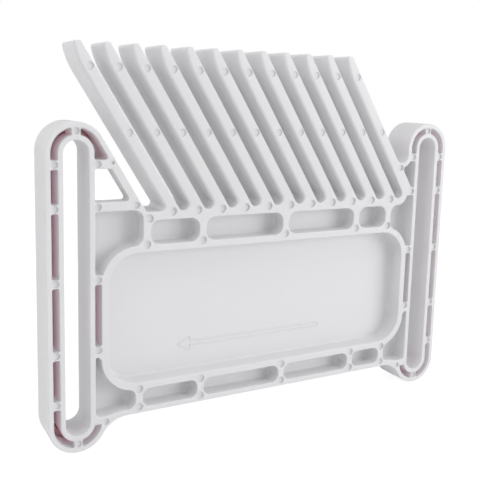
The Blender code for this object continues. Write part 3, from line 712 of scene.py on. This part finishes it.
def make_grip_ring(name, side):
    """A soft ring: a flat section with rounded corners, carried round a racetrack."""
    shell = Shell()
    seat, face = RING_SEAT + RING_GAP, UNDER
    half = (CHANNEL_OUT - CHANNEL_IN) / 2 - RING_GAP
    middle = (CHANNEL_OUT + CHANNEL_IN) / 2
    turn = quarter_turn(4)
    round_off = np.stack([np.cos(turn), np.sin(turn)], 1) * RING_R
    section = []
    for right, down, order in ((1, -1, -1), (1, 1, 1), (-1, 1, -1), (-1, -1, 1)):
        centre = np.array([right * (half - RING_R), face - RING_R if down > 0 else seat + RING_R])
        section.append(centre + (round_off * (right, down))[::order])
    rings = []
    for across, depth in np.vstack(section):
        ring = laid_out(racetrack(side * LOBE_X, middle + across))
        rings.append(np.stack([ring[:, 0], np.full(len(ring), depth), ring[:, 1]], 1))
    shell.carry(np.stack([*rings, rings[0]]))
    return shell.object(name)


def make_arrow():
    """A thin raised line round the shape of an arrow: a half-round carried along its outline."""
    middle, shaft, barb = 40.3, 1.1, 3.6       # height, and half widths of shaft and head
    tip, neck, tail = -46.6, -39.9, 35.3       # along the board
    tip_r, tail_r, inner_r = 0.3, 0.5, 0.2
    path = outline(
        (tip, middle, tip_r), (neck, middle - barb, tip_r), (neck, middle - shaft, inner_r),
        (tail, middle - shaft, tail_r), (tail, middle + shaft, tail_r),
        (neck, middle + shaft, inner_r), (neck, middle + barb, tip_r))
    width, height, sunk = 0.28, 0.34, PLATE_TOP + 0.3
    levels = [(PLATE_TOP - height * math.sin(turn), width * math.cos(turn))
              for turn in np.linspace(0, math.pi, 7)]
    shell = Shell()
    shell.wall(path, [(sunk, width), *levels, (sunk, -width), (sunk, width)])
    return shell.object("moulded_arrow")


# ------------------------------------------------------------------ materials
PLASTIC_IOR = 1.5                 # ABS is about 1.54 and thermoplastic rubber about 1.5
DRIFT_SIZE = 62.5                 # a moulding's colour drifts slowly, in mm
CREASE_DEG = 40.0                 # a sharper edge than this is shaded as one


def linear(code):
    """A hex colour as it looks on a screen, turned to the linear values that a shader takes."""
    values = [int(code[i:i + 2], 16) / 255 for i in (1, 3, 5)]
    return (*[v / 12.92 if v <= 0.04045 else ((v + 0.055) / 1.055) ** 2.4 for v in values], 1.0)


def add(tree, kind, settings=(), inputs=(), links=()):
    """A node with its settings, its input values and the sockets that feed it."""
    node = tree.nodes.new(kind)
    for name, value in dict(settings).items():
        setattr(node, name, value)
    for name, value in dict(inputs).items():
        node.inputs[name].default_value = value
    for name, socket in dict(links).items():
        tree.links.new(socket, node.inputs[name])
    return node


def plastic(name, colour, deep, roughness, grain, relief, share=0.0, far=None):
    """Moulded plastic: an even colour that drifts a little, and the mould's fine matt grain.

    Grain and relief are its size and height in mm.  A share of the light that falls on it goes
    through thin walls.  Another colour takes over with depth, and is painted light: `far` gives
    it, the depth where it starts and the depth where it is full.
    """
    shade = bpy.data.materials.new(name)
    shade.use_nodes = True
    tree = shade.node_tree
    shader = tree.nodes["Principled BSDF"]
    place = add(tree, "ShaderNodeTexCoord").outputs["Object"]
    drift = add(tree, "ShaderNodeTexNoise", inputs={"Scale": 1 / (DRIFT_SIZE * MM), "Detail": 2.0},
                links={"Vector": place})
    tone = add(tree, "ShaderNodeMix", {"data_type": "RGBA"},
               {"A": linear(deep), "B": linear(colour)}, {"Factor": drift.outputs["Fac"]})
    # Painted light: a second colour that takes over with depth.
    if far:
        depth = add(tree, "ShaderNodeSeparateXYZ", links={"Vector": place}).outputs["Y"]
        painted_glow_share = add(tree, "ShaderNodeMapRange", inputs={
            "From Min": far[1] * MM, "From Max": far[2] * MM}, links={"Value": depth})
        tone = add(tree, "ShaderNodeMix", {"data_type": "RGBA"}, {"B": linear(far[0])},
                   {"Factor": painted_glow_share.outputs["Result"], "A": tone.outputs["Result"]})
    fine = add(tree, "ShaderNodeTexNoise", inputs={"Scale": 1 / (grain * MM), "Detail": 3.0},
               links={"Vector": place})
    bump = add(tree, "ShaderNodeBump", inputs={"Strength": 0.35, "Distance": relief * MM},
               links={"Height": fine.outputs["Fac"]})
    tree.links.new(tone.outputs["Result"], shader.inputs["Base Color"])
    tree.links.new(bump.outputs["Normal"], shader.inputs["Normal"])
    shader.inputs["Roughness"].default_value = roughness
    shader.inputs["IOR"].default_value = PLASTIC_IOR
    shader.inputs["Metallic"].default_value = 0.0
    if share:
        through = add(tree, "ShaderNodeBsdfTranslucent", links={"Color": tone.outputs["Result"]})
        both = add(tree, "ShaderNodeMixShader", inputs={0: share},
                   links={1: shader.outputs[0], 2: through.outputs[0]})
        tree.links.new(both.outputs[0], tree.nodes["Material Output"].inputs["Surface"])
    return shade


def dress(piece, materials, replaces, body=None):
    """Materials, even shading with crisp corners, and the piece's place in the model."""
    slots = np.zeros(len(piece.data.polygons), int)
    piece.data.polygons.foreach_get("material_index", slots)
    piece.data.materials.clear()
    for material in materials:
        piece.data.materials.append(material)
    piece.data.polygons.foreach_set("material_index", slots)
    piece.data.polygons.foreach_set("use_smooth", np.ones(len(piece.data.polygons), bool))
    piece.data.set_sharp_from_angle(angle=math.radians(CREASE_DEG))
    shading = piece.modifiers.new("even_shading", "WEIGHTED_NORMAL")
    shading.keep_sharp = True
    shading.weight = 100
    if body:
        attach(piece, body)
    if replaces:
        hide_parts(replaces)


# ABS or nylon, injection moulded: pale, semi-matt and a little translucent.  The mould's spark
# grain is about 0.1 mm, and is drawn at 0.5 mm so that it shows.
WHITE = ("#F0F0F1", "#EDEDEF", 0.48, 0.5, 0.02)
moulded = plastic("moulded_white_abs", *WHITE, 0.18)
# The same plastic in the channels: thin walls let more light through, and the pink that takes over
# towards the rings' groove is painted light, the red that the rings throw on the walls.
painted_ring_glow = plastic("moulded_abs_painted_ring_glow", *WHITE, 0.8, ("#F2C8D1", TOP + 1.5, RING_SEAT))
# Soft thermoplastic rubber, moulded: red and matt, with painted light on the face that meets the
# white plastic: it is paler there, standing in for the white walls' light over the red where it is
# seen down the channels.
rubber = plastic("red_grip_rubber", "#C43A52", "#BC354C", 0.62, 0.8, 0.04,
                 far=("#E8CDD4", RING_SEAT + 1, RING_SEAT))

dress(make_moulding(), (moulded, painted_ring_glow), "body", "moulding")
for finger in range(FINGERS):
    piece = make_finger(finger)
    number = f"finger_{finger + 1:02d}"
    dress(piece, (moulded,), number)
    start = finger_point(finger, seam(finger), 0) * MM
    end = finger_point(finger, bend_end(finger), 0) * MM
    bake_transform(piece)
for name, side in (("grip_ring_left", -1), ("grip_ring_right", 1)):
    dress(make_grip_ring("soft_" + name, side), (rubber,), name, "moulding")
dress(make_arrow(), (moulded,), None, "moulding")

# ------------------------------------------------------------------ floor, light and camera
FLOOR_RADIUS = 3.0                # metres, as all lengths from here on
FLOOR_GLOW = 0.85                 # with the faint paper's own light it comes to white
ROOM_LEVEL = 0.5
AIM = (0, 0, 0.09)
SOFT_BOXES = (                    # name, place, width in metres, power in watts
    ("soft_box_right", (0.9, -0.9, 0.25), 0.8, 7.8),
    ("soft_box_above", (0, -0.3, 1.0), 0.8, 2.0),
    ("soft_box_left", (-0.8, 0.5, 0.35), 0.6, 1.0),
    ("soft_box_upper_left", (-0.7, -0.15, 0.8), 0.5, 1.4))
CAMERA_PLACE = (-0.1849, -0.3124, 0.1595)
CAMERA_TURN, CAMERA_TILT, CAMERA_ROLL = -0.504, -0.150, 0.026
CAMERA_LENS, SENSOR_WIDTH = 54.83, 36.0   # millimetres
CAMERA_SHIFT = (-0.0029, -0.0682)
CLIP_START = 0.02


def seen_directly(tree):
    """1 for what the camera sees, plain, mirrored or through the object, and 0 for other light."""
    rays = add(tree, "ShaderNodeLightPath").outputs
    seen = rays["Is Camera Ray"]
    for name in ("Is Glossy Ray", "Is Transmission Ray"):
        seen = add(tree, "ShaderNodeMath", {"operation": "MAXIMUM"},
                   links={0: seen, 1: rays[name]}).outputs[0]
    return seen


def make_floor():
    """A round pale floor that the camera sees as white, but for the object's own shadow."""
    turn = np.radians(np.arange(0, 360, 7.5))
    rim = np.stack([FLOOR_RADIUS * np.cos(turn), FLOOR_RADIUS * np.sin(turn), 0 * turn], 1)
    mesh = bpy.data.meshes.new("floor")
    mesh.from_pydata(rim.tolist(), [], [list(range(len(rim)))])
    floor = bpy.data.objects.new("floor", mesh)
    bpy.context.scene.collection.objects.link(floor)
    shade = bpy.data.materials.new("white_studio_paper")
    shade.use_nodes = True
    tree = shade.node_tree
    tree.nodes.remove(tree.nodes["Principled BSDF"])
    paper = add(tree, "ShaderNodeBsdfDiffuse", inputs={"Color": linear("#F4F4F4")})
    faint = add(tree, "ShaderNodeBsdfDiffuse", inputs={"Color": linear("#9A9A9A")})
    glow = add(tree, "ShaderNodeEmission", inputs={"Strength": FLOOR_GLOW})
    white = add(tree, "ShaderNodeAddShader", links={0: glow.outputs[0], 1: faint.outputs[0]})
    mix = add(tree, "ShaderNodeMixShader", links={
        0: seen_directly(tree), 1: paper.outputs[0], 2: white.outputs[0]})
    tree.links.new(mix.outputs[0], tree.nodes["Material Output"].inputs["Surface"])
    floor.data.materials.append(shade)


def light_world():
    """An even white room.  It is pure white where the camera or a reflection sees it."""
    world = bpy.data.worlds.new("white_room")
    world.use_nodes = True
    tree = world.node_tree
    background = tree.nodes["Background"]
    background.inputs["Color"].default_value = (1, 1, 1, 1)
    strength = add(tree, "ShaderNodeMix", {"data_type": "FLOAT"}, {"A": ROOM_LEVEL, "B": 1.0},
                   {"Factor": seen_directly(tree)})
    tree.links.new(strength.outputs["Result"], background.inputs["Strength"])
    bpy.context.scene.world = world


def add_soft_box(name, place, width, power):
    """A square area lamp, turned to face the object's middle."""
    lamp = bpy.data.lights.new(name, "AREA")
    lamp.size = width
    lamp.energy = power
    holder = bpy.data.objects.new(name, lamp)
    bpy.context.scene.collection.objects.link(holder)
    holder.location = place
    holder.rotation_euler = (Vector(AIM) - Vector(place)).to_track_quat("-Z", "Y").to_euler()


def set_camera():
    """A camera turned about the upright axis, then tilted, then rolled."""
    camera = bpy.data.cameras.new("camera")
    camera.sensor_width = SENSOR_WIDTH
    camera.lens = CAMERA_LENS
    camera.shift_x, camera.shift_y = CAMERA_SHIFT
    camera.clip_start = CLIP_START
    eye = bpy.data.objects.new("camera", camera)
    bpy.context.scene.collection.objects.link(eye)
    level = math.pi / 2
    eye.matrix_world = (
        Matrix.Translation(CAMERA_PLACE) @ Matrix.Rotation(CAMERA_TURN, 4, "Z")
        @ Matrix.Rotation(level + CAMERA_TILT, 4, "X") @ Matrix.Rotation(CAMERA_ROLL, 4, "Z"))
    bpy.context.scene.camera = eye


make_floor()
light_world()
for soft_box in SOFT_BOXES:
    add_soft_box(*soft_box)
set_camera()
bpy.context.scene.view_settings.view_transform = "Standard"
